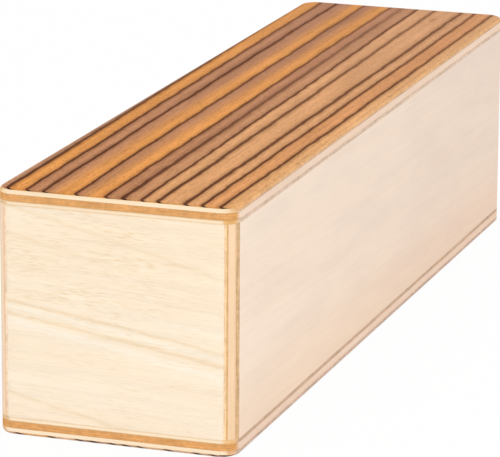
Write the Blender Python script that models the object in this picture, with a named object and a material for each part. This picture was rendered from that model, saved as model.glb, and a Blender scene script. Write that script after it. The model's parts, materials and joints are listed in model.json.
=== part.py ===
"""Square box shaker: laminated wooden panels, striped face veneers and loose beads sealed inside.

Metres, +Z up. Y runs along the box, X across it, and the origin is the middle of the bottom face.
Every layer is sawn as a flat slab and then trimmed by one rounded case form, the way the glued box
is routed and sanded after assembly.
"""

import math

import bmesh
import bpy
from mathutils import Matrix, Vector

MM = 0.001

# Outside of the case: its corner posts are rounded, and the rims of its top and bottom eased
CASE_WIDTH = 64.0 * MM
CASE_LENGTH = 250.0 * MM
CASE_HEIGHT = 64.0 * MM
CORNER_RADIUS = 5.0 * MM
TOP_EASING = 1.2 * MM
BOTTOM_EASING = 0.2 * MM

# Top and bottom panels: a striped veneer over three plies, of which the two faces are alike
TOP_VENEER = 0.25 * MM
BOTTOM_VENEER = 0.5 * MM
PANEL_FACE_PLY = 0.95 * MM
PANEL_CORE_PLY = 1.75 * MM

# Side panels: three plies, of which the two faces are alike
SIDE_FACE_PLY = 0.7 * MM
SIDE_CORE_PLY = 1.6 * MM

# End panels: three plies, of which the two faces are alike
END_FACE_PLY = 0.95 * MM
END_CORE_PLY = 1.2 * MM

# Glue line between two layers or panels
GLUE_LINE = 0.05 * MM

# Loose filling
BEAD_COUNT = 28
BEAD_DIAMETER = 5.0 * MM
BEAD_FLOOR_GAP = 0.3 * MM
BEAD_WALL_GAP = 1.0 * MM

# Fineness of the rounded forms
CORNER_SEGMENTS = 8
EASING_SEGMENTS = 4
BEAD_SEGMENTS = 12
BEAD_RINGS = 8
SHARP_ANGLE = math.radians(35.0)

# A slab reaches this far past the case form where the form trims it
TRIM_ALLOWANCE = 5.0 * MM

# Finishes: linear colour, roughness, metallic
FINISHES = {
    "striped_veneer": ((0.47, 0.22, 0.085), 0.50, 0.0),
    "long_grain_ply": ((0.88, 0.70, 0.50), 0.60, 0.0),
    "end_grain_ply": ((0.62, 0.34, 0.14), 0.65, 0.0),
    "side_face": ((0.82, 0.66, 0.52), 0.55, 0.0),
    "end_face": ((0.90, 0.76, 0.58), 0.55, 0.0),
    "steel": ((0.55, 0.55, 0.57), 0.30, 1.0),
}

# Stacks of layers from the outer face inwards: layer, thickness, finish that shows on the case
PANEL_STACK = (
    ("outer_ply", PANEL_FACE_PLY, "long_grain_ply"),
    ("core_ply", PANEL_CORE_PLY, "end_grain_ply"),
    ("inner_ply", PANEL_FACE_PLY, "long_grain_ply"),
)
TOP_STACK = (("veneer", TOP_VENEER, "striped_veneer"), *PANEL_STACK)
BOTTOM_STACK = (("veneer", BOTTOM_VENEER, "striped_veneer"), *PANEL_STACK)
SIDE_STACK = (
    ("outer_ply", SIDE_FACE_PLY, "side_face"),
    ("core_ply", SIDE_CORE_PLY, "long_grain_ply"),
    ("inner_ply", SIDE_FACE_PLY, "end_grain_ply"),
)
END_STACK = (
    ("outer_ply", END_FACE_PLY, "end_face"),
    ("core_ply", END_CORE_PLY, "end_grain_ply"),
    ("inner_ply", END_FACE_PLY, "long_grain_ply"),
)

X, Y, Z = range(3)


def stack_thickness(stack):
    layers = sum(thickness for layer, thickness, finish in stack)
    return layers + GLUE_LINE * (len(stack) - 1)


TOP_PANEL = stack_thickness(TOP_STACK)
BOTTOM_PANEL = stack_thickness(BOTTOM_STACK)
SIDE_PANEL = stack_thickness(SIDE_STACK)
END_PANEL = stack_thickness(END_STACK)

CASE_LOW = Vector((-CASE_WIDTH / 2, -CASE_LENGTH / 2, 0.0))
CASE_HIGH = Vector((CASE_WIDTH / 2, CASE_LENGTH / 2, CASE_HEIGHT))


def clear_scene():
    for item in list(bpy.data.objects):
        bpy.data.objects.remove(item, do_unlink=True)


def new_collection(name):
    group = bpy.data.collections.new(name)
    bpy.context.scene.collection.children.link(group)
    return group


def new_material(name, finish):
    colour, roughness, metallic = FINISHES[finish]
    material = bpy.data.materials.new(name)
    material.use_nodes = True
    shader = material.node_tree.nodes["Principled BSDF"]
    shader.inputs["Base Color"].default_value = (*colour, 1.0)
    shader.inputs["Roughness"].default_value = roughness
    shader.inputs["Metallic"].default_value = metallic
    return material


def mesh_from(form, name):
    mesh = bpy.data.meshes.new(name)
    form.to_mesh(mesh)
    form.free()
    mesh.shade_smooth()
    mesh.set_sharp_from_angle(angle=SHARP_ANGLE)
    return mesh


def box_form(size):
    form = bmesh.new()
    bmesh.ops.create_cube(form, size=1.0, matrix=Matrix.Diagonal((*size, 1.0)))
    return form


def round_edges(form, edges, radius, segments):
    bmesh.ops.bevel(
        form,
        geom=edges,
        offset=radius,
        segments=segments,
        profile=0.5,
        affect="EDGES",
        clamp_overlap=True,
    )


def build_case_form(group):
    """The rounded outside of the glued box, which trims every layer to its final outline."""
    form = box_form(CASE_HIGH - CASE_LOW)
    posts = [edge for edge in form.edges if edge.verts[0].co.xy == edge.verts[1].co.xy]
    round_edges(form, posts, CORNER_RADIUS, CORNER_SEGMENTS)
    for side, easing in ((1, TOP_EASING), (-1, BOTTOM_EASING)):
        rim = [
            edge
            for edge in form.edges
            if edge.verts[0].co.z == edge.verts[1].co.z and edge.verts[0].co.z * side > 0.0
        ]
        round_edges(form, rim, easing, EASING_SEGMENTS)
    case_form = bpy.data.objects.new("case_form", mesh_from(form, "case_form"))
    case_form.location = (CASE_LOW + CASE_HIGH) / 2
    case_form.hide_render = True
    case_form.display_type = "WIRE"
    group.objects.link(case_form)
    return case_form


def add_layer(name, low, high, finish, case_form, group):
    """One layer: a slab between two corners, trimmed by the case form."""
    layer = bpy.data.objects.new(name, mesh_from(box_form(high - low), name))
    layer.location = (low + high) / 2
    layer.data.materials.append(new_material(name, finish))
    trim = layer.modifiers.new("trim_to_case", "BOOLEAN")
    trim.operation = "INTERSECT"
    trim.solver = "EXACT"
    trim.object = case_form
    group.objects.link(layer)


def build_panel(panel, stack, axis, outward, low_inset, high_inset, case_form, group):
    """A panel as layers stacked along one axis, from its outer face (outward = 1 or -1) inwards.

    The insets are how far the slabs stop short of the case's low and high corners on the other two
    axes; where one is negative they run past the case and are trimmed.
    """
    low = CASE_LOW + Vector(low_inset)
    high = CASE_HIGH - Vector(high_inset)
    outer_face = (CASE_HIGH if outward > 0 else CASE_LOW)[axis]
    depth = 0.0
    for layer, thickness, finish in stack:
        start = depth if depth > 0.0 else -TRIM_ALLOWANCE
        end = depth + thickness
        low[axis], high[axis] = sorted((outer_face - outward * start, outer_face - outward * end))
        add_layer(f"{panel}_{layer}", low, high, finish, case_form, group)
        depth = end + GLUE_LINE


def build_case(case_form, group):
    """Six panels: full-size top and bottom, sides standing between them, ends set inside the frame."""
    past = -TRIM_ALLOWANCE
    above = TOP_PANEL + GLUE_LINE
    below = BOTTOM_PANEL + GLUE_LINE
    beside = SIDE_PANEL + GLUE_LINE
    full = (past, past, 0.0), (past, past, 0.0)
    between = (0.0, past, below), (0.0, past, above)
    inside = (beside, 0.0, below), (beside, 0.0, above)
    build_panel("top", TOP_STACK, Z, 1, *full, case_form, group)
    build_panel("bottom", BOTTOM_STACK, Z, -1, *full, case_form, group)
    build_panel("left", SIDE_STACK, X, -1, *between, case_form, group)
    build_panel("right", SIDE_STACK, X, 1, *between, case_form, group)
    build_panel("front", END_STACK, Y, -1, *inside, case_form, group)
    build_panel("rear", END_STACK, Y, 1, *inside, case_form, group)


def bead_places():
    """Spots scattered over the chamber floor: even steps along it, golden-ratio steps across it."""
    golden_step = (math.sqrt(5.0) - 1.0) / 2
    radius = BEAD_DIAMETER / 2
    run_x = CASE_WIDTH - 2 * (SIDE_PANEL + BEAD_WALL_GAP + radius)
    run_y = CASE_LENGTH - 2 * (END_PANEL + BEAD_WALL_GAP + radius)
    floor = BOTTOM_PANEL + BEAD_FLOOR_GAP + radius
    for index in range(BEAD_COUNT):
        across = (index + 0.5) * golden_step % 1.0 - 0.5
        along = (index + 0.5) / BEAD_COUNT - 0.5
        yield Vector((across * run_x, along * run_y, floor))


def build_beads(group):
    form = bmesh.new()
    bmesh.ops.create_uvsphere(
        form, u_segments=BEAD_SEGMENTS, v_segments=BEAD_RINGS, radius=BEAD_DIAMETER / 2
    )
    ball = mesh_from(form, "bead")
    ball.materials.append(new_material("bead_steel", "steel"))
    for number, place in enumerate(bead_places(), start=1):
        bead = bpy.data.objects.new(f"bead_{number:02d}", ball)
        bead.location = place
        group.objects.link(bead)


def main():
    clear_scene()
    shaker = new_collection("wooden_shaker")
    cutters = new_collection("cutters")
    build_case(build_case_form(cutters), shaker)
    build_beads(shaker)


main()
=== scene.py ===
"""Looks of the wooden box shaker: sanded plywood layers, striped veneers and loose steel beads.

In metres: X across the box, Y along it from the front end to the rear end, Z up from the face that it
rests on. Wood patterns are sized in millimetres.
"""

import json
import math
from typing import NamedTuple

import bmesh
import bpy
from mathutils import Color, Matrix, Vector, noise

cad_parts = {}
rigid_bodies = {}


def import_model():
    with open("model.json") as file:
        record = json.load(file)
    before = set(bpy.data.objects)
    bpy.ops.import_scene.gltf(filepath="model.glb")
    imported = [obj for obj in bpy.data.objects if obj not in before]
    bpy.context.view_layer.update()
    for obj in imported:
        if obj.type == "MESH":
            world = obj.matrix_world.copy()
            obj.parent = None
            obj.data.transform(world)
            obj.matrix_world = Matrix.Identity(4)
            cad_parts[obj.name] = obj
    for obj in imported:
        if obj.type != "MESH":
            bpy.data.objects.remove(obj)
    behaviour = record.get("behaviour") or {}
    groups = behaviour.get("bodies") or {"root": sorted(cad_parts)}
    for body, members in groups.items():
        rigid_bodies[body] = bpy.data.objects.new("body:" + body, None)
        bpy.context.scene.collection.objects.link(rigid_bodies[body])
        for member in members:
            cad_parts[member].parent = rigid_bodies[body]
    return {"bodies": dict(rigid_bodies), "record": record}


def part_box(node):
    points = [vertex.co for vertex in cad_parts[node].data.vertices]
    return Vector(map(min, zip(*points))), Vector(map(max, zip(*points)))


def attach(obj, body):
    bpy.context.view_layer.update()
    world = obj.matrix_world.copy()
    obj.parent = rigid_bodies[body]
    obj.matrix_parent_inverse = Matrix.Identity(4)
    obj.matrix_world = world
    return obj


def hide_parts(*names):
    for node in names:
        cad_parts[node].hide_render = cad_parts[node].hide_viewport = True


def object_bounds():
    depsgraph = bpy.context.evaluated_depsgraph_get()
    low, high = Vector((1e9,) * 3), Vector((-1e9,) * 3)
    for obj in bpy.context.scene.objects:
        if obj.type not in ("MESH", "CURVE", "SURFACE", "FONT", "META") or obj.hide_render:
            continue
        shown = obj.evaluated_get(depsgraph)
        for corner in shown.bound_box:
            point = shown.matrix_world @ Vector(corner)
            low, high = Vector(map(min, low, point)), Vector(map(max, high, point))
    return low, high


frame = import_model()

CAD_LOW, CAD_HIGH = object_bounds()
MM = 0.001
PER_MM = 1.0 / MM
X, Y, Z = range(3)
CASE_WIDTH, CASE_LENGTH, CASE_HEIGHT = CAD_HIGH - CAD_LOW
CASE_MM = [size * PER_MM for size in CAD_HIGH - CAD_LOW]

# Sanded outside of the case: its corner posts are rounded and its rims eased, the long bottom edges
# more than those of the ends
CORNER_RADIUS = 5.0 * MM
TOP_EASING = 1.2 * MM
BOTTOM_EASING = 0.2 * MM
BOTTOM_SIDE_EASING = 1.0 * MM
CORNER_SEGMENTS = 24
EASING_SEGMENTS = 8
SHARP_ANGLE = math.radians(40.0)
SAW_TOLERANCE = 0.001 * MM

# The glue swells each layer by this much at a joint, which leaves a hairline between two layers
GLUE_SWELL = 0.018 * MM

# The glue also stains the wood this far from a joint: most about each panel's inner glue line, some
# at the level seams between panels, and less in the left panel than in the others
GLUE_STAIN = 0.3 * MM
STAIN_SHARES = {
    ("core_ply", "outer side"): 0.4,
    ("core_ply", "chamber side"): 1.0,
    ("inner_ply", "outer side"): 1.0,
}
SEAM_STAIN_SHARE = 0.4
PANEL_STAIN_SHARES = {"left": 0.5}

# Axes across which each panel's layers were sawn, the one that they are stacked on first; the rest
# of their outline is the case's own
SAWN_AXES = {
    "top": (Z,),
    "bottom": (Z,),
    "left": (X, Z),
    "right": (X, Z),
    "front": (Y, X, Z),
    "rear": (Y, X, Z),
}

# Tumbled beads: depth and pitch of the shallow dents that shaking leaves
BEAD_DENT_DEPTH = 0.04 * MM
BEAD_DENT_PITCH = 1.1 * MM
BEAD_FINENESS = 4

# Directions of the grain; the sheets of the ends and sides were cut a little off their grain
ACROSS_BOX = Vector((1.0, 0.0, 0.0))
ALONG_BOX = Vector((0.0, 1.0, 0.0))
UPRIGHT = Vector((0.0, 0.0, 1.0))
END_GRAIN_DIP = math.radians(3.0)
SIDE_GRAIN_DIP = math.radians(2.0)


def tone(red, green, blue):
    """A colour as the eye sees it on the wood, 0 to 255 each, as a linear colour."""
    seen = Color((red / 255, green / 255, blue / 255))
    return (*seen.from_srgb_to_scene_linear(), 1.0)


# Tones of the striped veneer
DUSK = tone(192, 145, 112)
UMBER = tone(190, 135, 98)
SEPIA = tone(194, 138, 100)
FAWN = tone(204, 148, 106)
HONEY = tone(228, 156, 88)
TAN = tone(226, 167, 116)
RUSSET = tone(222, 157, 104)
AMBER = tone(226, 169, 115)
VEIN = tone(80, 47, 35)
VEIN_RIM = tone(120, 73, 50)
VEIN_CUT = tone(48, 18, 9)

# Painted light along the veneer: its tones are tinted brighter at its front end and cooler at its rear
# end, standing in for how the light falls along the top; their tint at its front end and at its rear
# end
VENEER_PAINTED_LIGHT = (1.10, 1.09, 1.06, 1.0), (0.96, 1.01, 1.20, 1.0)

# How strongly the veneer's streaks show at its front and rear end, its pores likewise, and the range
# of its mottling
VENEER_STREAKS = (0.20, 0.12)
VENEER_PORES = (0.45, 0.25)
VENEER_MOTTLE = (0.88, 1.12)

# Levels of the streaks between which the veneer turns from dark to light, and its veins likewise
VENEER_STREAK_LEVELS = (0.30, 0.70)
VEIN_STREAK_LEVELS = (0.35, 0.65)

# How strongly the veins show, the streaks in them and the shadow beside them
VEIN_STRENGTH = 0.92
VEIN_STREAKS = 0.35
VEIN_SHADOW = 0.35

# The veins cross the veneers at a slant: mm to the left for each mm up
VEIN_SLANT = 4.0

# Edges in a striped figure, left to right, in mm from the left edge: place at the front end, place
# at the rear end, bow between them, width of the dark vein on the edge, softness of the change of
# tone, share of the vein that is left at the rear end, tone to its right
TOP_FIGURE = (
    (3.3, 0.2, 0.0, 1.4, 0.4, 0.5, HONEY),
    (8.5, 5.7, -0.25, 1.15, 0.5, 0.67, UMBER),
    (13.0, 10.6, -0.3, 1.2, 0.4, 0.79, UMBER),
    (16.4, 15.2, 0.0, 0.0, 4.5, 0.0, HONEY),
    (21.3, 19.5, -0.15, 1.1, 0.4, 0.57, UMBER),
    (24.6, 23.2, 0.0, 0.0, 4.8, 0.0, HONEY),
    (29.4, 27.8, 0.0, 1.15, 0.4, 0.57, SEPIA),
    (34.1, 31.8, 0.0, 1.6, 0.4, 0.36, FAWN),
    (38.9, 36.4, 0.3, 1.1, 0.4, 0.76, TAN),
    (43.3, 42.0, 0.2, 1.42, 0.4, 0.57, TAN),
    (50.3, 50.6, 0.3, 1.45, 0.4, 0.68, TAN),
    (54.8, 55.0, 0.2, 1.15, 0.4, 0.70, RUSSET),
    (59.6, 60.4, 0.35, 1.15, 0.4, 0.69, AMBER),
)
# The bottom's figure takes mostly the lighter tones, painted lighter against the shade near the floor
BOTTOM_FIGURE = (
    (7.3, 5.7, 0.2, 1.7, 0.4, 1.0, HONEY),
    (16.1, 14.8, 0.3, 1.8, 0.4, 0.9, TAN),
    (23.5, 22.4, -0.2, 1.7, 0.4, 1.0, FAWN),
    (27.5, 26.1, 0.0, 2.3, 0.4, 1.0, FAWN),
    (32.7, 31.4, 0.2, 1.9, 0.4, 0.8, TAN),
    (36.1, 34.6, 0.2, 1.9, 0.4, 1.0, TAN),
    (39.9, 38.8, 0.0, 1.7, 0.4, 1.0, AMBER),
    (47.5, 47.0, -0.3, 1.8, 0.4, 0.9, TAN),
    (55.2, 55.3, 0.0, 1.8, 0.4, 1.0, TAN),
    (59.4, 59.8, 0.2, 1.7, 0.4, 1.0, FAWN),
    (62.5, 63.1, 0.0, 1.9, 0.4, 1.0, TAN),
)

# A pin knot in the top veneer: mm from the left edge and from the front end, its reach across and
# along the veneer, and the share of that reach in which it is darkest
PIN_KNOT_PLACE = (45.4, 235.0)
PIN_KNOT_SIZE = (1.1, 5.0)
PIN_KNOT_HEART = 0.15

# Late-wood lines on an end sheet, in mm: height at its left, height at its right, bow between them,
# thickness, share of the line that is left at its right, strength
FRONT_LINES = (
    (60.5, 44.5, 0.6, 1.2, 0.7, 0.27),
    (53.4, 39.5, 0.0, 1.3, 0.1, 0.27),
    (45.6, 37.6, 0.4, 0.8, 0.5, 0.12),
    (35.6, 26.0, 0.5, 1.0, 0.8, 0.40),
    (32.5, 22.8, 0.3, 1.2, 1.0, 0.36),
    (11.9, -2.6, 0.3, 1.1, 0.5, 0.32),
)
REAR_LINES = (
    (58.2, 52.4, 0.6, 1.0, 0.4, 0.24),
    (49.0, 43.5, -0.4, 1.1, 1.0, 0.36),
    (41.2, 34.8, 0.3, 0.9, 0.7, 0.20),
    (29.8, 24.1, 0.5, 1.2, 0.9, 0.36),
    (21.6, 13.9, -0.3, 0.9, 0.5, 0.16),
    (12.4, 6.0, 0.2, 1.0, 1.0, 0.28),
)

# Pale bands of early wood beside those lines, laid out as they are
FRONT_BANDS = (
    (41.0, 30.5, 0.0, 1.6, 5.0, 0.06),
    (34.3, 24.3, 0.5, 1.3, 1.0, 0.36),
    (31.0, 19.8, 0.0, 2.2, 1.0, 0.45),
)
REAR_BANDS = (
    (46.8, 41.3, -0.4, 1.8, 0.8, 0.36),
    (27.4, 21.6, 0.5, 2.2, 1.0, 0.45),
    (10.2, 3.8, 0.2, 1.6, 0.6, 0.30),
)

# Late-wood lines on a side sheet: height at its front, height at its rear, and on as for the ends
SIDE_LINES = (
    (66.0, 40.0, 1.5, 1.8, 1.0, 0.10),
    (52.0, 30.0, -2.0, 1.6, 0.6, 0.12),
    (34.0, 21.0, 1.0, 2.2, 0.8, 0.10),
    (18.0, 9.0, 0.5, 1.6, 0.7, 0.10),
)

# How much the soft rim of such a line shows, and the share of a patch of flecks in which they show most
LINE_RIM_SHARE = 0.3
PATCH_HEART = 0.4


class Figure(NamedTuple):
    """A sheet's figure along an axis: late-wood lines in its tone, early-wood bands in its pale.

    Flecks show this strongly in the patch, a place along the axis and up with a reach in both, and
    fleck_share of that outside it.
    """

    axis: int
    lines: tuple
    tone: tuple
    flecks: float
    fleck_share: float
    patch: tuple
    bands: tuple = ()
    pale: tuple = ()


class EndGrain(NamedTuple):
    """Tone of a cut across the fibres, and the squared slopes to them between which it takes over.

    rounds are its tones on the rounded corners at the left and at the right, rim its tone where the
    surface tilts.
    """

    tone: tuple
    limits: tuple
    rounds: tuple = ()
    rim: tuple = ()


# Share that each finer detail of a pattern keeps of the one before it
DETAIL_SHARE = 0.55


class Board:
    """Puts nodes into one tree and wires each as it is made. A value may be a constant or a socket."""

    def __init__(self, tree):
        self.tree = tree

    def feed(self, socket, value):
        if isinstance(value, bpy.types.NodeSocket):
            self.tree.links.new(value, socket)
        else:
            socket.default_value = value

    def add(self, kind, settings=None, inputs=None):
        node = self.tree.nodes.new(kind)
        for name, value in (settings or {}).items():
            setattr(node, name, value)
        for name, value in (inputs or {}).items():
            self.feed(node.inputs[name], value)
        return node

    def use(self, group, inputs):
        return self.add("ShaderNodeGroup", {"node_tree": group}, inputs).outputs

    def math(self, operation, *values):
        node = self.add("ShaderNodeMath", {"operation": operation}, dict(enumerate(values)))
        return node.outputs[0]

    def vector(self, operation, *values):
        node = self.add("ShaderNodeVectorMath", {"operation": operation}, dict(enumerate(values)))
        return node.outputs["Value" if operation in ("DOT_PRODUCT", "LENGTH") else "Vector"]

    def times(self, vector, factor):
        return self.vector("MULTIPLY", vector, (factor, factor, factor))

    def scaled(self, vector, across, depth, along):
        """The vector in units of these three lengths."""
        return self.vector("DIVIDE", vector, (across, depth, along))

    def parts(self, vector):
        return self.add("ShaderNodeSeparateXYZ", None, {"Vector": vector}).outputs

    def joined(self, x, y, z=0.0):
        return self.add("ShaderNodeCombineXYZ", None, {"X": x, "Y": y, "Z": z}).outputs[0]

    def noise(self, vector, detail):
        inputs = {"Vector": vector, "Scale": 1.0, "Detail": detail, "Roughness": DETAIL_SHARE}
        return self.add("ShaderNodeTexNoise", None, inputs).outputs["Fac"]

    def eased(self, value, low, high, to_low=0.0, to_high=1.0):
        """A smooth step of the value between two limits."""
        names = ("Value", "From Min", "From Max", "To Min", "To Max")
        inputs = dict(zip(names, (value, low, high, to_low, to_high)))
        node = self.add("ShaderNodeMapRange", {"interpolation_type": "SMOOTHSTEP"}, inputs)
        return node.outputs["Result"]

    def spread(self, value, low, high):
        """A 0 to 1 value laid over a range."""
        inputs = {"Value": value, "To Min": low, "To Max": high}
        return self.add("ShaderNodeMapRange", None, inputs).outputs["Result"]

    def mix(self, share, first, second, mode="MIX"):
        node = self.add("ShaderNodeMix", {"data_type": "RGBA", "blend_type": mode})
        for socket, value in ((0, share), (6, first), (7, second)):
            self.feed(node.inputs[socket], value)
        return node.outputs[2]

    def tinted(self, share, colour, tint):
        """The colour multiplied by a tint, as far as the share goes."""
        return self.mix(share, colour, tint, "MULTIPLY")


SOCKET_KINDS = {"value": "NodeSocketFloat", "vector": "NodeSocketVector"}


def new_group(name, inputs, outputs):
    """A shader node group with named sockets: its board, its inputs and its outputs."""
    group = bpy.data.node_groups.new(name, "ShaderNodeTree")
    for label, kind in inputs.items():
        group.interface.new_socket(label, in_out="INPUT", socket_type=SOCKET_KINDS[kind])
    for label, kind in outputs.items():
        group.interface.new_socket(label, in_out="OUTPUT", socket_type=SOCKET_KINDS[kind])
    board = Board(group)
    return board, board.add("NodeGroupInput").outputs, board.add("NodeGroupOutput").inputs


def grain_space_group():
    """A place on the object as mm across the grain, into the wood and along the grain."""
    board, given, result = new_group(
        "grain_space",
        {"Place": "vector", "Along": "vector", "Across": "vector"},
        {"Grain": "vector"},
    )
    depth = board.vector("CROSS_PRODUCT", given["Along"], given["Across"])
    in_mm = board.times(given["Place"], PER_MM)
    ways = given["Across"], depth, given["Along"]
    lengths = [board.vector("DOT_PRODUCT", in_mm, way) for way in ways]
    board.feed(result["Grain"], board.joined(*lengths))
    return board.tree


# Squared slopes, to the level, between which a surface begins to cut across level fibres
LEVEL_SLOPES = (0.02, 0.10)


def end_grain_group():
    """How far a surface cuts across level fibres: 0 along them, 1 across them.

    Low and High are the squared slopes, seen from above, between which the look of the cut takes
    over. A level face cuts none. Squareness is the slope itself.
    """
    board, given, result = new_group(
        "end_grain",
        {"Normal": "vector", "Along": "vector", "Low": "value", "High": "value"},
        {"Share": "value", "Squareness": "value"},
    )
    sideways = board.vector("MULTIPLY", given["Normal"], (1.0, 1.0, 0.0))
    lean = board.vector("DOT_PRODUCT", board.vector("NORMALIZE", sideways), given["Along"])
    slope = board.math("MULTIPLY", lean, lean)
    steep = board.eased(board.vector("DOT_PRODUCT", sideways, sideways), *LEVEL_SLOPES)
    across = board.eased(slope, given["Low"], given["High"])
    board.feed(result["Share"], board.math("MULTIPLY", across, steep))
    board.feed(result["Squareness"], board.math("ABSOLUTE", lean))
    return board.tree


# Slopes between which a surface passes from a round to a flat face; rubbed patches on the rounds, and
# the levels between which they show
FLAT_SLOPES = (0.78, 0.98)
RUBS_PER_METRE = 90.0
RUB_LEVELS = (0.3, 0.7)


def handled_edge_group():
    """The rounded rims and corners, 0 on flat faces and 1 on the rounds, and where hands rub them."""
    board, given, result = new_group(
        "handled_edge", {"Place": "vector", "Normal": "vector"}, {"Rounds": "value", "Rubbed": "value"}
    )
    slopes = board.parts(board.vector("ABSOLUTE", given["Normal"]))
    flattest = board.math("MAXIMUM", board.math("MAXIMUM", slopes["X"], slopes["Y"]), slopes["Z"])
    patches = board.noise(board.times(given["Place"], RUBS_PER_METRE), 3.0)
    rounds = board.eased(flattest, *FLAT_SLOPES, 1.0, 0.0)
    board.feed(result["Rounds"], rounds)
    board.feed(result["Rubbed"], board.math("MULTIPLY", rounds, board.eased(patches, *RUB_LEVELS)))
    return board.tree


# Patterns in the wood, in mm: across the grain, into the wood and along the grain, then the thickness
# of single fibres and pores
BROAD_STREAKS = (1.5, 1.5, 70.0)
GROWTH_RINGS = (9.0, 0.32, 60.0)
MOTTLING = (9.0, 9.0, 34.0)
FLECK_SIZE = (0.26, 0.26, 3.0)
FLECK_PATCHES = (3.0, 3.0, 12.0)
FIBRE_THICKNESS = 0.24
PORE_THICKNESS = 0.16

# Soft rim of a pore, and how much the fibres stand out beside it
PORE_SOFTNESS = 0.1
FIBRE_RELIEF = 0.5


def fibre_group():
    """Fibre streaks, growth rings, open pores, soft mottling and relief, from mm in grain space."""
    board, given, result = new_group(
        "fibre",
        {"Grain": "vector", "Length": "value", "Pore Length": "value", "Pore Share": "value"},
        {"Streaks": "value", "Rings": "value", "Pores": "value", "Mottle": "value", "Relief": "value"},
    )
    sides = board.parts(given["Grain"])

    def drawn_out(thickness, length):
        thick = [board.math("DIVIDE", sides[side], thickness) for side in "XY"]
        return board.joined(*thick, board.math("DIVIDE", sides["Z"], length))

    broad = board.noise(board.scaled(given["Grain"], *BROAD_STREAKS), 3.0)
    fine = board.noise(drawn_out(FIBRE_THICKNESS, given["Length"]), 2.0)
    streaks = board.math("MULTIPLY", board.math("ADD", broad, fine), 0.5)
    threshold = board.math("SUBTRACT", 1.0, given["Pore Share"])
    pore_field = board.noise(drawn_out(PORE_THICKNESS, given["Pore Length"]), 0.0)
    pores = board.eased(pore_field, threshold, board.math("ADD", threshold, PORE_SOFTNESS))
    raised = board.math("MULTIPLY", fine, FIBRE_RELIEF)
    board.feed(result["Streaks"], streaks)
    board.feed(result["Rings"], board.noise(board.scaled(given["Grain"], *GROWTH_RINGS), 2.0))
    board.feed(result["Pores"], pores)
    board.feed(result["Mottle"], board.noise(board.scaled(given["Grain"], *MOTTLING), 2.0))
    board.feed(result["Relief"], board.math("SUBTRACT", raised, pores))
    return board.tree


# Levels between which flecks show, patches of them fill and late-wood lines break, and the shares that
# are left outside a patch and in a break
FLECK_LEVELS = (0.42, 0.72)
FLECK_PATCH_LEVELS = (0.3, 0.7)
BREAK_LEVELS = (0.3, 0.6)
OUTSIDE_PATCH = 0.25
IN_BREAK = 0.35


def fleck_group():
    """Short pale-brown flecks along the grain, gathered in patches, from mm in grain space."""
    board, given, result = new_group(
        "flecks", {"Grain": "vector"}, {"Flecks": "value", "Broken": "value"}
    )
    dashes = board.noise(board.scaled(given["Grain"], *FLECK_SIZE), 2.0)
    patches = board.noise(board.scaled(given["Grain"], *FLECK_PATCHES), 2.0)
    filled = board.eased(patches, *FLECK_PATCH_LEVELS, OUTSIDE_PATCH, 1.0)
    board.feed(result["Flecks"], board.math("MULTIPLY", board.eased(dashes, *FLECK_LEVELS), filled))
    board.feed(result["Broken"], board.eased(dashes, *BREAK_LEVELS, IN_BREAK, 1.0))
    return board.tree


# How the edges of a figure wander: mm across and along the figure of each pattern, and its reach
SWAY_SIZE = (14.0, 55.0, 1.0)
SWAY_REACH = 0.9
KINK_SIZE = (1.7, 9.0, 1.0)
KINK_REACH = 1.1
SWELL_SIZE = (0.9, 9.0, 1.0)
SWELL_RANGE = (0.5, 1.5)

# A vein in shares of its width, out from its middle: where its full dark ends, its rim, and where the
# shadow beside it ends
VEIN_CORE = 0.25
VEIN_REACH = 0.55
SHADOW_REACH = 1.4

# What is added to the reach of the rim and of the shadow, in mm
VEIN_MARGIN = 0.02
SHADOW_MARGIN = 0.03


def figure_edge_group():
    """One edge or line of a wood figure: the vein on it, and which side of it a place lies on.

    Place is mm across the figure and mm along it. The edge runs from Start to End over Length, with
    a bow, a slow sway that its neighbours share and small kinks of its own.
    """
    values = ("Length", "Start", "End", "Bow", "Width", "Softness", "End Share")
    board, given, result = new_group(
        "figure_edge",
        {"Place": "vector", **{label: "value" for label in values}},
        {"Vein": "value", "Halo": "value", "Beyond": "value"},
    )
    place = board.parts(given["Place"])
    run = board.math("DIVIDE", place["Y"], given["Length"])
    climb = board.math("SUBTRACT", given["End"], given["Start"])
    straight = board.math("MULTIPLY_ADD", climb, run, given["Start"])
    arch = board.math("MULTIPLY", board.math("MULTIPLY", run, board.math("SUBTRACT", 1.0, run)), 4.0)
    bowed = board.math("MULTIPLY_ADD", arch, given["Bow"], straight)
    track = board.joined(given["Start"], place["Y"])
    sway = board.noise(board.scaled(track, *SWAY_SIZE), 1.0)
    kinks = board.noise(board.scaled(track, *KINK_SIZE), 4.0)
    swell = board.noise(board.scaled(track, *SWELL_SIZE), 4.0)
    swayed = board.math("MULTIPLY_ADD", board.math("SUBTRACT", sway, 0.5), SWAY_REACH, bowed)
    centre = board.math("MULTIPLY_ADD", board.math("SUBTRACT", kinks, 0.5), KINK_REACH, swayed)
    offset = board.math("SUBTRACT", place["X"], centre)
    distance = board.math("ABSOLUTE", offset)
    width = board.math("MULTIPLY", given["Width"], board.spread(swell, *SWELL_RANGE))
    core = board.math("MULTIPLY", width, VEIN_CORE)
    rim = board.math("MULTIPLY_ADD", width, VEIN_REACH, VEIN_MARGIN)
    outskirt = board.math("MULTIPLY_ADD", width, SHADOW_REACH, SHADOW_MARGIN)
    share = board.spread(run, 1.0, given["End Share"])
    half = board.math("MULTIPLY", given["Softness"], 0.5)
    for label, inner, outer in (("Vein", core, rim), ("Halo", rim, outskirt)):
        shown = board.eased(distance, inner, outer, 1.0, 0.0)
        board.feed(result[label], board.math("MULTIPLY", shown, share))
    board.feed(result["Beyond"], board.eased(offset, board.math("MULTIPLY", half, -1.0), half))
    return board.tree


GRAIN_SPACE = grain_space_group()
END_GRAIN = end_grain_group()
HANDLED_EDGE = handled_edge_group()
FIBRE = fibre_group()
FLECKS = fleck_group()
FIGURE_EDGE = figure_edge_group()

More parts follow.
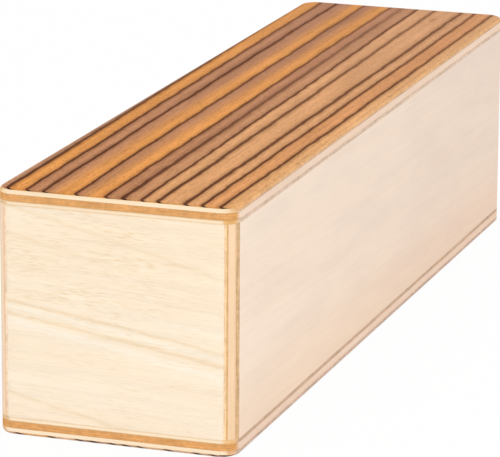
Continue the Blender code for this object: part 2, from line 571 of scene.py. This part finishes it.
# Fibres and pores: their lengths in mm, and how dense the pores are
VENEER_FIBRE = {"Length": 6.0, "Pore Length": 1.8, "Pore Share": 0.40}
PLY_FIBRE = {"Length": 16.0, "Pore Length": 5.0, "Pore Share": 0.30}

# Sealed wood: its shine, the strength and depths of its relief, how the sanded rounds are warmed, and
# how much of its tone and of its roughness hands leave where they rub it
WOOD_SHINE = 0.0
RELIEF_STRENGTH = 0.6
VENEER_RELIEF = 0.05 * MM
PLY_RELIEF = 0.03 * MM
ROUNDS_WARMTH = (1.0, 0.985, 0.92, 1.0)
RUBBED_TONE = 0.97
RUBBED_ROUGHNESS = 0.85

# Ranges of the sealed wood's roughness
VENEER_ROUGHNESS = (0.50, 0.70)
PLY_ROUGHNESS = (0.52, 0.70)

# How strongly the fibres and the growth rings show where they are cut across, and a pore's tone
END_GRAIN_STREAKS = 0.16
RING_CONTRAST = 0.13
PLY_PORE_TONE = 0.96

# Levels of a ply's patterns between which it changes from one tone to the other
MOTTLE_LEVELS = (0.32, 0.68)
PLY_STREAK_LEVELS = (0.33, 0.67)
RING_LEVELS = (0.3, 0.7)

# Tilts, to the upright, between which a rim takes its own tone
RIM_TILTS = (0.15, 0.6)

# Heights, in mm, between which the painted warm light at the foot of a sheet ends
FOOT_SPAN = (5.0, 26.0)

# Tone of wood soaked with glue, and the mark on a piece's points that says how near a joint they are
GLUED = tone(214, 164, 104)
GLUE_MARK = "glue_stain"

# The glue is smeared, and less of it shows on the long sides than towards the ends
SMEARS_PER_METRE = 450.0
SMEAR_LEVELS = (0.35, 0.65)
SMEAR_RANGE = (0.72, 1.08)
SIDE_GLUE_SHARE = 0.2
END_SLOPES = (0.1, 0.5)


def new_finish(name):
    """A material with an empty tree but for its surface: the material, its board and its shader."""
    material = bpy.data.materials.new(name)
    material.use_nodes = True
    return material, Board(material.node_tree), material.node_tree.nodes["Principled BSDF"]


def object_place(board):
    return board.add("ShaderNodeTexCoord").outputs


def place_in_mm(board, space):
    """Mm from the case's left side, front end and bottom face."""
    corner = board.vector("SUBTRACT", space["Object"], tuple(CAD_LOW))
    return board.parts(board.times(corner, PER_MM))


def in_grain(board, space, grain):
    """The place in the space of a grain, given as the directions along it and across it."""
    along, across = grain
    inputs = {"Place": space["Object"], "Along": along, "Across": across}
    return board.use(GRAIN_SPACE, inputs)["Grain"]


def cut_across(board, space, grain, limits):
    """How far and how squarely the surface cuts across a grain."""
    inputs = {"Normal": space["Normal"], "Along": grain[0], "Low": limits[0], "High": limits[1]}
    return board.use(END_GRAIN, inputs)


def figure_edge(board, track, axis, start, end, bow, width, softness, end_share):
    """An edge or line of a figure that runs along an axis of the case."""
    inputs = {
        "Place": track,
        "Length": CASE_MM[axis],
        "Start": start,
        "End": end,
        "Bow": bow,
        "Width": width,
        "Softness": softness,
        "End Share": end_share,
    }
    return board.use(FIGURE_EDGE, inputs)


def reach(board, spot, half_width, half_height):
    """How far a place lies from the middle of an oval, where 1 is its rim."""
    return board.vector("LENGTH", board.scaled(spot, half_width, half_height, 1.0))


def shaded(board, colour, *shades):
    """The colour made lighter or darker by each of the shades, where 1 leaves it as it is."""
    for shade in shades:
        colour = board.tinted(1.0, colour, board.joined(shade, shade, shade))
    return colour


def contrast(board, pattern, limits, share, first, second):
    """A shade that follows a pattern, with a strength that goes from the first to the second."""
    darkest = board.spread(share, 1.0 - first, 1.0 - second)
    lightest = board.spread(share, 1.0 + first, 1.0 + second)
    return board.eased(pattern, *limits, darkest, lightest)


def relief(board, shader, height, depth):
    inputs = {"Strength": RELIEF_STRENGTH, "Distance": depth, "Height": height}
    board.feed(shader.inputs["Normal"], board.add("ShaderNodeBump", None, inputs).outputs["Normal"])


def sealed(board, shader, space, colour, roughness):
    """Thin clear seal over the wood: warmer on the sanded rounds, darker and smoother where rubbed."""
    edge = board.use(HANDLED_EDGE, {"Place": space["Object"], "Normal": space["Normal"]})
    warmed = board.tinted(edge["Rounds"], colour, ROUNDS_WARMTH)
    darkened = shaded(board, warmed, board.spread(edge["Rubbed"], 1.0, RUBBED_TONE))
    smoothing = board.spread(edge["Rubbed"], 1.0, RUBBED_ROUGHNESS)
    board.feed(shader.inputs["Base Color"], darkened)
    board.feed(shader.inputs["Roughness"], board.math("MULTIPLY", roughness, smoothing))
    shader.inputs["Specular IOR Level"].default_value = WOOD_SHINE


def striped(board, track, figure, first_tone, knot):
    """A striped figure laid on a track of mm across and along it: its tones, veins and shadows."""
    colour, veins, shadows = first_tone, 0.0, 0.0
    for start, end, bow, width, softness, end_share, beyond in figure:
        edge = figure_edge(board, track, Y, start, end, bow, width, softness, end_share)
        colour = board.mix(edge["Beyond"], colour, beyond)
        if width:
            veins = board.math("MAXIMUM", veins, edge["Vein"])
            shadows = board.math("MAXIMUM", shadows, edge["Halo"])
    if knot:
        place, size = knot
        spot = board.vector("SUBTRACT", track, (*place, 0.0))
        shown = board.eased(reach(board, spot, *size), PIN_KNOT_HEART, 1.0, 1.0, 0.0)
        shadows = board.math("MAXIMUM", shadows, shown)
    return colour, veins, shadows


def veneer_finish(name, figure, first_tone, face_height, cut_tint_and_shade, cut_limits, knot=None):
    """Striped veneer: bands of tone parted by dark veins that run the length of the box.

    face_height is the height of the veneer's outer face, in mm. cut_tint_and_shade is how its tones
    change on its cut edges, on the bottom veneer partly painted shade, cut_limits the squared slopes to
    the grain between which that takes over. knot is a pin knot's place and size.
    """
    material, board, shader = new_finish(name)
    space = object_place(board)
    place = place_in_mm(board, space)
    grain = ALONG_BOX, ACROSS_BOX
    fibre = board.use(FIBRE, {"Grain": in_grain(board, space, grain), **VENEER_FIBRE})
    cut = cut_across(board, space, grain, cut_limits)["Share"]
    run = board.math("DIVIDE", place["Y"], CASE_MM[Y])
    height = board.math("SUBTRACT", place["Z"], face_height)
    slanted = board.math("MULTIPLY_ADD", height, VEIN_SLANT, place["X"])
    track = board.joined(slanted, place["Y"])
    colour, veins, shadows = striped(board, track, figure, first_tone, knot)
    streak = contrast(board, fibre["Streaks"], VENEER_STREAK_LEVELS, run, *VENEER_STREAKS)
    toned = shaded(board, colour, streak, board.spread(fibre["Mottle"], *VENEER_MOTTLE))
    # Painted light: the veneer is tinted brighter towards its front end and cooler towards its rear end
    painted_lit_tone = board.tinted(1.0, toned, board.mix(run, *VENEER_PAINTED_LIGHT))
    # On the bottom veneer this cut tint is partly painted shade from the floor beneath
    edged = board.tinted(cut, painted_lit_tone, cut_tint_and_shade)
    shadowed = board.mix(board.math("MULTIPLY", shadows, VEIN_SHADOW), edged, VEIN_RIM)
    pores = board.math("MULTIPLY", fibre["Pores"], board.spread(run, *VENEER_PORES))
    pored = board.mix(pores, shadowed, VEIN_RIM)
    streaked = board.mix(board.eased(fibre["Streaks"], *VEIN_STREAK_LEVELS), VEIN, VEIN_RIM)
    vein_tone = board.mix(cut, board.mix(VEIN_STREAKS, VEIN, streaked), VEIN_CUT)
    veined = board.mix(board.math("MULTIPLY", veins, VEIN_STRENGTH), pored, vein_tone)
    sealed(board, shader, space, veined, board.spread(fibre["Streaks"], *VENEER_ROUGHNESS))
    relief(board, shader, fibre["Relief"], VENEER_RELIEF)
    return material


def figure_lines(board, figure, lines, place, broken):
    """Where the lines or bands of a sheet's figure show, broken by a mask."""
    track = board.joined(place["Z"], place[figure.axis])
    marks = 0.0
    for start, end, bow, width, end_share, strength in lines:
        line = figure_edge(board, track, figure.axis, start, end, bow, width, width, end_share)
        shown = board.math("MULTIPLY_ADD", line["Halo"], LINE_RIM_SHARE, line["Vein"])
        worn = board.math("MULTIPLY", broken, strength)
        marks = board.math("MAXIMUM", marks, board.math("MULTIPLY", shown, worn))
    return marks


def figured(board, figure, grain_place, place, colour):
    """The colour of a sheet with its pale bands, late-wood lines and flecks."""
    fleck = board.use(FLECKS, {"Grain": grain_place})
    middle, size = figure.patch
    spot = board.joined(
        board.math("SUBTRACT", place[figure.axis], middle[0]),
        board.math("SUBTRACT", place["Z"], middle[1]),
    )
    outside = figure.flecks * figure.fleck_share
    gathered = board.eased(reach(board, spot, *size), PATCH_HEART, 1.0, figure.flecks, outside)
    flecks = board.math("MULTIPLY", fleck["Flecks"], gathered)
    if figure.bands:
        bands = figure_lines(board, figure, figure.bands, place, 1.0)
        colour = board.mix(bands, colour, figure.pale)
    lines = figure_lines(board, figure, figure.lines, place, fleck["Broken"])
    return board.mix(board.math("MAXIMUM", flecks, lines), colour, figure.tone)


def end_tone(board, space, place, cut, squareness):
    """The tone of end grain: its own on a square cut, others on the rounds and on a tilted rim."""
    colour = cut.tone
    if cut.rounds:
        across_case = board.math("DIVIDE", place["X"], CASE_MM[X])
        square = board.eased(squareness, *FLAT_SLOPES)
        colour = board.mix(square, board.mix(across_case, *cut.rounds), colour)
    if cut.rim:
        tilt = board.math("ABSOLUTE", board.parts(space["Normal"])["Z"])
        colour = board.mix(board.eased(tilt, *RIM_TILTS), colour, cut.rim)
    return colour


def glue_soak(board, space):
    """How much glue has soaked into the wood at a place."""
    glue = board.add("ShaderNodeAttribute", {"attribute_name": GLUE_MARK}).outputs["Fac"]
    toward_end = board.math("ABSOLUTE", board.parts(space["Normal"])["Y"])
    shown = board.eased(toward_end, *END_SLOPES, SIDE_GLUE_SHARE, 1.0)
    smears = board.noise(board.times(space["Object"], SMEARS_PER_METRE), 3.0)
    smeared = board.eased(smears, *SMEAR_LEVELS, *SMEAR_RANGE)
    return board.math("MULTIPLY", board.math("MULTIPLY", glue, shown), smeared)


def ply_finish(name, grain, faces, cut, drift=(X, 0.0), foot_warm_light=None, streaks=0.03, figure=None):
    """Plain wood: a pale face along the grain, a darker cut across it, stained by glue at its joints.

    grain is the directions along it and across it. faces are the two tones that the face wanders
    between, and drift is an axis and how far it goes over from the first to the second along it; on
    the side faces that drift is painted shade towards the rear end. cut is its end grain.
    foot_warm_light is how the tones change towards the bottom, painted warm light near the floor.
    streaks is how strongly the fibres show on the face. figure is the figure of its sheet, if it has
    one.
    """
    material, board, shader = new_finish(name)
    space = object_place(board)
    place = place_in_mm(board, space)
    grain_place = in_grain(board, space, grain)
    fibre = board.use(FIBRE, {"Grain": grain_place, **PLY_FIBRE})
    crossing = cut_across(board, space, grain, cut.limits)
    end = crossing["Share"]
    axis, share = drift
    run = board.math("DIVIDE", place[axis], CASE_MM[axis])
    wander = board.eased(fibre["Mottle"], *MOTTLE_LEVELS, 0.0, 1.0 - share)
    colour = board.mix(board.math("MULTIPLY_ADD", run, share, wander), *faces)
    # Painted warm light: the tones are tinted warmer and darker towards the foot, near the floor
    if foot_warm_light:
        colour = board.tinted(board.eased(place["Z"], *FOOT_SPAN, 1.0, 0.0), colour, foot_warm_light)
    if figure:
        colour = figured(board, figure, grain_place, place, colour)
    cut_tone = end_tone(board, space, place, cut, crossing["Squareness"])
    streak = contrast(board, fibre["Streaks"], PLY_STREAK_LEVELS, end, streaks, END_GRAIN_STREAKS)
    ring = contrast(board, fibre["Rings"], RING_LEVELS, end, 0.0, RING_CONTRAST)
    pores = board.spread(fibre["Pores"], 1.0, PLY_PORE_TONE)
    toned = shaded(board, board.mix(end, colour, cut_tone), streak, ring, pores)
    stained = board.mix(glue_soak(board, space), toned, GLUED)
    sealed(board, shader, space, stained, board.spread(fibre["Streaks"], *PLY_ROUGHNESS))
    relief(board, shader, fibre["Relief"], PLY_RELIEF)
    return material


# Tumbled steel: its two tones and roughnesses, mm of the haze between them, mm and depth of its scuffs
STEEL_TONES = tone(172, 170, 168), tone(208, 207, 205)
STEEL_ROUGHNESS = (0.22, 0.42)
STEEL_HAZE = (1.4, 1.4, 1.4)
SCUFF_SIZE = (0.12, 0.12, 0.9)
SCUFF_RELIEF = 0.01 * MM


def steel_finish():
    """Tumbled steel: bright metal with a dull haze and fine scuffs."""
    material, board, shader = new_finish("tumbled_steel")
    place = board.times(object_place(board)["Object"], PER_MM)
    haze = board.noise(board.scaled(place, *STEEL_HAZE), 3.0)
    scuffs = board.noise(board.scaled(place, *SCUFF_SIZE), 2.0)
    board.feed(shader.inputs["Base Color"], board.mix(haze, *STEEL_TONES))
    board.feed(shader.inputs["Roughness"], board.spread(haze, *STEEL_ROUGHNESS))
    shader.inputs["Metallic"].default_value = 1.0
    relief(board, shader, scuffs, SCUFF_RELIEF)
    return material


# Tones that the plies' faces wander between: pale plies, the bottom's plies painted brighter against
# the shade near the floor, cores, and faces of sides and ends, the sides' second tone darker as painted
# shade towards the rear end
PALE_PLY = tone(254, 231, 199), tone(250, 225, 192)
PAINTED_BRIGHT_PLY = tone(255, 237, 208), tone(254, 233, 203)
PANEL_CORE = tone(248, 222, 201), tone(244, 216, 194)
LEFT_CORE = tone(252, 225, 204), tone(249, 220, 197)
RIGHT_CORE = tone(253, 220, 187), tone(249, 215, 180)
SIDE_FACE = tone(252, 233, 213), tone(239, 219, 204)
END_FACE = tone(254, 239, 217), tone(252, 233, 206)

# Brown end grain: it shows soon on the cores of top and bottom, late on the sides' cores and the ends
BROWN_CUT = tone(225, 166, 106)
SOON_CUT = EndGrain(BROWN_CUT, (0.0, 0.3))
LATE_CUT = EndGrain(BROWN_CUT, (0.3, 0.9))


def dipping(along, across, angle):
    """Grain directions turned by an angle in their own plane."""
    return (
        along * math.cos(angle) - across * math.sin(angle),
        across * math.cos(angle) + along * math.sin(angle),
    )


def panel_plies(name, pale, outer_cut, inner_cut):
    """Finishes of the three plies of the top or bottom panel."""
    crossing = ACROSS_BOX, ALONG_BOX
    lengthwise = ALONG_BOX, ACROSS_BOX
    return {
        "outer_ply": ply_finish(f"{name}_outer_ply", crossing, pale, outer_cut),
        "core_ply": ply_finish(f"{name}_core_ply", lengthwise, PANEL_CORE, SOON_CUT),
        "inner_ply": ply_finish(f"{name}_inner_ply", crossing, pale, inner_cut),
    }


def top_finishes():
    """Finishes of the top panel's layers."""
    veneer = veneer_finish(
        "top_striped_veneer",
        TOP_FIGURE,
        DUSK,
        CASE_MM[Z],
        cut_tint_and_shade=(0.92, 0.88, 0.66, 1.0),
        cut_limits=(0.15, 0.6),
        knot=(PIN_KNOT_PLACE, PIN_KNOT_SIZE),
    )
    outer_round = tone(252, 206, 152)
    outer_cut = EndGrain(
        tone=tone(219, 183, 152),
        limits=(0.10, 0.80),
        rounds=(outer_round, outer_round),
        rim=tone(234, 178, 122),
    )
    inner_cut = EndGrain(
        tone=tone(226, 199, 177),
        limits=(0.03, 0.2),
        rounds=(tone(242, 206, 166), tone(236, 184, 120)),
    )
    return {"veneer": veneer, **panel_plies("top", PALE_PLY, outer_cut, inner_cut)}


def bottom_finishes():
    """Finishes of the bottom panel's layers; its veneer has the tones of a cut on all its edges, partly
    painted shade from the floor beneath, and its figure and plies take tones painted lighter against
    that shade.
    """
    veneer = veneer_finish(
        "bottom_striped_veneer",
        BOTTOM_FIGURE,
        TAN,
        0.0,
        # Partly the grey of its cut, partly painted shade from the floor beneath its edges
        cut_tint_and_shade=(0.88, 1.14, 1.70, 1.0),
        cut_limits=(-1.0, -0.5),
    )
    outer_round = tone(236, 190, 150)
    outer_cut = EndGrain(
        tone=tone(216, 190, 171),
        limits=(0.13, 0.41),
        rounds=(outer_round, outer_round),
        rim=tone(216, 190, 171),
    )
    inner_cut = EndGrain(
        tone=tone(211, 182, 157),
        limits=(0.03, 0.2),
        rounds=(tone(242, 206, 166), tone(248, 204, 152)),
    )
    # The bottom's plies take tones painted brighter against the shade near the floor
    return {"veneer": veneer, **panel_plies("bottom", PAINTED_BRIGHT_PLY, outer_cut, inner_cut)}


def side_face_finish():
    """The plain face of both side panels: painted warm light makes it warmer at its foot, and painted
    shade makes it darker towards the rear end.
    """
    return ply_finish(
        "side_face_ply",
        dipping(ALONG_BOX, UPRIGHT, SIDE_GRAIN_DIP),
        SIDE_FACE,
        EndGrain(tone(218, 180, 138), (0.045, 0.095)),
        # The drift is painted shade, darker towards the rear end, and the foot tint is painted warm
        # light near the floor
        drift=(Y, 0.7),
        foot_warm_light=(1.0, 0.945, 0.90, 1.0),
        streaks=0.02,
        figure=Figure(
            axis=Y,
            lines=SIDE_LINES,
            tone=tone(244, 216, 190),
            flecks=0.4,
            fleck_share=0.15,
            patch=((40.0, 42.0), (45.0, 14.0)),
        ),
    )


def side_finishes(name, face, core, inner_tone):
    """Finishes of the three plies of a side panel."""
    inner_cut = EndGrain(inner_tone, (0.1, 0.5))
    return {
        "outer_ply": face,
        "core_ply": ply_finish(f"{name}_core_ply", (UPRIGHT, ALONG_BOX), core, LATE_CUT),
        "inner_ply": ply_finish(f"{name}_inner_ply", (ALONG_BOX, UPRIGHT), PALE_PLY, inner_cut),
    }


def end_finishes(name, lines, bands):
    """Finishes of the three plies of an end panel."""
    sheet = dipping(ACROSS_BOX, UPRIGHT, END_GRAIN_DIP)
    figure = Figure(
        axis=X,
        lines=lines,
        tone=tone(231, 198, 152),
        flecks=0.75,
        fleck_share=0.40,
        patch=((27.0, 46.0), (34.0, 18.0)),
        bands=bands,
        pale=tone(255, 246, 230),
    )
    return {
        "outer_ply": ply_finish(
            f"{name}_outer_ply", sheet, END_FACE, LATE_CUT, drift=(Z, 0.6), streaks=0.04, figure=figure
        ),
        "core_ply": ply_finish(f"{name}_core_ply", (UPRIGHT, ACROSS_BOX), PALE_PLY, LATE_CUT),
        "inner_ply": ply_finish(f"{name}_inner_ply", sheet, END_FACE, LATE_CUT),
    }


def wood_finishes():
    """Finishes by panel and layer."""
    side_face = side_face_finish()
    return {
        "top": top_finishes(),
        "bottom": bottom_finishes(),
        "left": side_finishes("left", side_face, LEFT_CORE, tone(252, 222, 194)),
        "right": side_finishes("right", side_face, RIGHT_CORE, tone(252, 214, 170)),
        "front": end_finishes("front", FRONT_LINES, FRONT_BANDS),
        "rear": end_finishes("rear", REAR_LINES, REAR_BANDS),
    }


def round_edges(form, edges, radius, segments):
    bmesh.ops.bevel(form, geom=edges, offset=radius, segments=segments, profile=0.5, affect="EDGES")


def sharpen_ends(form):
    """Narrows the easing of the bottom rim from the long sides round to the ends."""
    core = Vector((CASE_WIDTH, CASE_LENGTH)) / 2 - Vector((CORNER_RADIUS, CORNER_RADIUS))
    for vert in form.verts:
        height = vert.co.z + CASE_HEIGHT / 2
        if height > BOTTOM_SIDE_EASING + SAW_TOLERANCE:
            continue
        nearest = Vector((min(max(vert.co[axis], -core[axis]), core[axis]) for axis in (X, Y)))
        outward = vert.co.xy - nearest
        inset = CORNER_RADIUS - outward.length
        outward.normalize()
        easing = BOTTOM_EASING + (BOTTOM_SIDE_EASING - BOTTOM_EASING) * outward.x**2
        share = easing / BOTTOM_SIDE_EASING
        vert.co.xy = nearest + outward * (CORNER_RADIUS - inset * share)
        vert.co.z = height * share - CASE_HEIGHT / 2


def sanded_case():
    """The outside of the glued box, before it is parted into its layers."""
    form = bmesh.new()
    size = Vector((CASE_WIDTH, CASE_LENGTH, CASE_HEIGHT))
    bmesh.ops.create_cube(form, size=1.0, matrix=Matrix.Diagonal((*size, 1.0)))
    posts = [edge for edge in form.edges if edge.verts[0].co.xy == edge.verts[1].co.xy]
    round_edges(form, posts, CORNER_RADIUS, CORNER_SEGMENTS)
    for side, easing in ((1, TOP_EASING), (-1, BOTTOM_SIDE_EASING)):
        rim = [
            edge
            for edge in form.edges
            if edge.verts[0].co.z == edge.verts[1].co.z and edge.verts[0].co.z * side > 0.0
        ]
        round_edges(form, rim, easing, EASING_SEGMENTS)
    sharpen_ends(form)
    bmesh.ops.translate(form, verts=form.verts, vec=(CAD_LOW + CAD_HIGH) / 2)
    return form


def score(form, axis, place, inward, clear):
    """Cuts the form square to an axis and, if clear, takes away what lies outward of the cut."""
    point, normal = Vector(), Vector()
    point[axis], normal[axis] = place, inward
    cut = bmesh.ops.bisect_plane(
        form,
        geom=[*form.verts, *form.edges, *form.faces],
        plane_co=point,
        plane_no=normal,
        clear_inner=clear,
    )
    return [item for item in cut["geom_cut"] if isinstance(item, bmesh.types.BMEdge)]


def stain_share(panel, layer, axis, side):
    """How much glue soaks into a layer at its joint on one side of an axis."""
    stack_axis = SAWN_AXES[panel][0]
    if axis == stack_axis and (layer, side) in STAIN_SHARES:
        return STAIN_SHARES[layer, side] * PANEL_STAIN_SHARES.get(panel, 1.0)
    is_seam = axis == Z and (axis != stack_axis or layer == "inner_ply")
    return SEAM_STAIN_SHARE if is_seam else 0.0


def joints_of(node):
    """A layer's joints: axis, place, direction into the layer, share of glue that soaks in."""
    low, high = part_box(node)
    panel, layer = node.split("_", 1)
    joints = []
    for axis in SAWN_AXES[panel]:
        above = low[axis] + high[axis] > CAD_LOW[axis] + CAD_HIGH[axis]
        for place, inward, side in (
            (low[axis] - GLUE_SWELL, 1, "chamber side" if above else "outer side"),
            (high[axis] + GLUE_SWELL, -1, "outer side" if above else "chamber side"),
        ):
            if CAD_LOW[axis] + SAW_TOLERANCE < place < CAD_HIGH[axis] - SAW_TOLERANCE:
                joints.append((axis, place, inward, stain_share(panel, layer, axis, side)))
    return joints


def stain_joints(form, joints):
    """Marks how much glue soaks into each point: most at a joint, none where the stain ends."""
    for axis, place, inward, share in joints:
        score(form, axis, place + inward * GLUE_STAIN, inward, clear=False)
    mark = form.verts.layers.float.new(GLUE_MARK)
    for vert in form.verts:
        depths = [(abs(vert.co[axis] - place), share) for axis, place, inward, share in joints]
        vert[mark] = max(share * max(0.0, 1.0 - depth / GLUE_STAIN) for depth, share in depths)


def shown_piece(name, form, finish, body, node):
    """A piece that stands for a solid of the frame and moves with its body."""
    mesh = bpy.data.meshes.new(name)
    form.to_mesh(mesh)
    form.free()
    mesh.shade_smooth()
    mesh.set_sharp_from_angle(angle=SHARP_ANGLE)
    mesh.materials.append(finish)
    piece = bpy.data.objects.new(name, mesh)
    bpy.context.scene.collection.objects.link(piece)
    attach(piece, body)
    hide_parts(node)
    return piece


def build_layer(node, finish):
    """One veneer or ply: the sanded case sawn down to the slab that the solid fills."""
    form = sanded_case()
    joints = joints_of(node)
    for axis, place, inward, share in joints:
        bmesh.ops.holes_fill(form, edges=score(form, axis, place, inward, clear=True))
    stain_joints(form, joints)
    piece = shown_piece(f"sanded_{node}", form, finish, "case", node)
    even = piece.modifiers.new("even_shading", "WEIGHTED_NORMAL")
    even.keep_sharp = True


def build_case():
    finishes = wood_finishes()
    for node in frame["record"]["behaviour"]["bodies"]["case"]:
        panel, layer = node.split("_", 1)
        build_layer(node, finishes[panel][layer])


def build_beads():
    """Steel beads with the shallow dents of long shaking, inside the size of their solids."""
    finish = steel_finish()
    for body in frame["bodies"]:
        if body == "case":
            continue
        low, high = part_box(body)
        centre, radius = (low + high) / 2, (high.z - low.z) / 2
        form = bmesh.new()
        bmesh.ops.create_icosphere(form, subdivisions=BEAD_FINENESS, radius=radius)
        for point in form.verts:
            dent = 0.5 - 0.5 * noise.noise((point.co + centre) / BEAD_DENT_PITCH)
            point.co += centre - point.co.normalized() * BEAD_DENT_DEPTH * dent
        shown_piece(f"tumbled_{body}", form, finish, body, body)


# Camera: its place and turn, and its focal length in image widths
CAMERA_PLACE = Vector((321.8, -962.2, 295.7)) * MM
CAMERA_YAW = math.radians(18.87)
CAMERA_PITCH = math.radians(-14.94)
CAMERA_ROLL = math.radians(0.31)
FOCAL_IN_WIDTHS = 3752.0 / 500.0


def build_camera():
    camera = bpy.data.objects.new("camera", bpy.data.cameras.new("camera"))
    camera.data.lens = FOCAL_IN_WIDTHS * camera.data.sensor_width
    turn = Matrix.Rotation(CAMERA_YAW, 4, "Z") @ Matrix.Rotation(math.pi / 2 + CAMERA_PITCH, 4, "X")
    roll = Matrix.Rotation(CAMERA_ROLL, 4, "Z")
    camera.matrix_world = Matrix.Translation(CAMERA_PLACE) @ turn @ roll
    bpy.context.scene.collection.objects.link(camera)
    bpy.context.scene.camera = camera


def seen_rays(board):
    """1 where a surface is seen, directly, mirrored or through something clear, 0 where it lights."""
    path = board.add("ShaderNodeLightPath").outputs
    seen = board.math("MAXIMUM", path["Is Camera Ray"], path["Is Glossy Ray"])
    return board.math("MAXIMUM", seen, path["Is Transmission Ray"])


# White floor: its size in metres, its gap under the box, its paint, and how far it is lifted to white
FLOOR_SIZE = 12.0
FLOOR_DROP = 0.1 * MM
FLOOR_PAINT = (0.97, 0.97, 0.97, 1.0)
FLOOR_ROUGHNESS = 0.9
FLOOR_SHOWN_WHITE = 0.95


def floor_finish():
    """White paint that takes the object's shadow and is lifted to white where it is seen."""
    material, board, shader = new_finish("white_floor")
    shader.inputs["Base Color"].default_value = FLOOR_PAINT
    shader.inputs["Roughness"].default_value = FLOOR_ROUGHNESS
    shader.inputs["Specular IOR Level"].default_value = 0.0
    white = board.add("ShaderNodeEmission", None, {"Strength": 1.0})
    share = board.math("MULTIPLY", seen_rays(board), FLOOR_SHOWN_WHITE)
    layers = {0: share, 1: shader.outputs[0], 2: white.outputs[0]}
    blend = board.add("ShaderNodeMixShader", None, layers)
    board.feed(material.node_tree.nodes["Material Output"].inputs["Surface"], blend.outputs[0])
    return material


def build_floor():
    form = bmesh.new()
    bmesh.ops.create_grid(form, x_segments=1, y_segments=1, size=FLOOR_SIZE / 2)
    mesh = bpy.data.meshes.new("floor")
    form.to_mesh(mesh)
    form.free()
    mesh.materials.append(floor_finish())
    floor = bpy.data.objects.new("floor", mesh)
    floor.location.z = CAD_LOW.z - FLOOR_DROP
    bpy.context.scene.collection.objects.link(floor)


# Light: the strength of the room's, and the lamp's place and size in metres and its power in watts
ROOM_LIGHT = 0.90
KEY_PLACE = Vector((0.35, -0.9, 0.7))
KEY_SIZE = 0.6
KEY_POWER = 1.6


def build_light():
    """Soft white room light, with one soft lamp ahead of the box, up and to the right."""
    world = bpy.data.worlds.new("studio")
    world.use_nodes = True
    board = Board(world.node_tree)
    sky = world.node_tree.nodes["Background"]
    sky.inputs["Color"].default_value = (1.0, 1.0, 1.0, 1.0)
    board.feed(sky.inputs["Strength"], board.spread(seen_rays(board), ROOM_LIGHT, 1.0))
    bpy.context.scene.world = world
    lamp = bpy.data.lights.new("key_softbox", "AREA")
    lamp.energy = KEY_POWER
    lamp.size = KEY_SIZE
    key = bpy.data.objects.new("key_softbox", lamp)
    key.location = KEY_PLACE
    key.rotation_euler = ((CAD_LOW + CAD_HIGH) / 2 - KEY_PLACE).to_track_quat("-Z", "Y").to_euler()
    bpy.context.scene.collection.objects.link(key)


bpy.context.scene.view_settings.view_transform = "Standard"
build_case()
build_beads()
build_camera()
build_floor()
build_light()
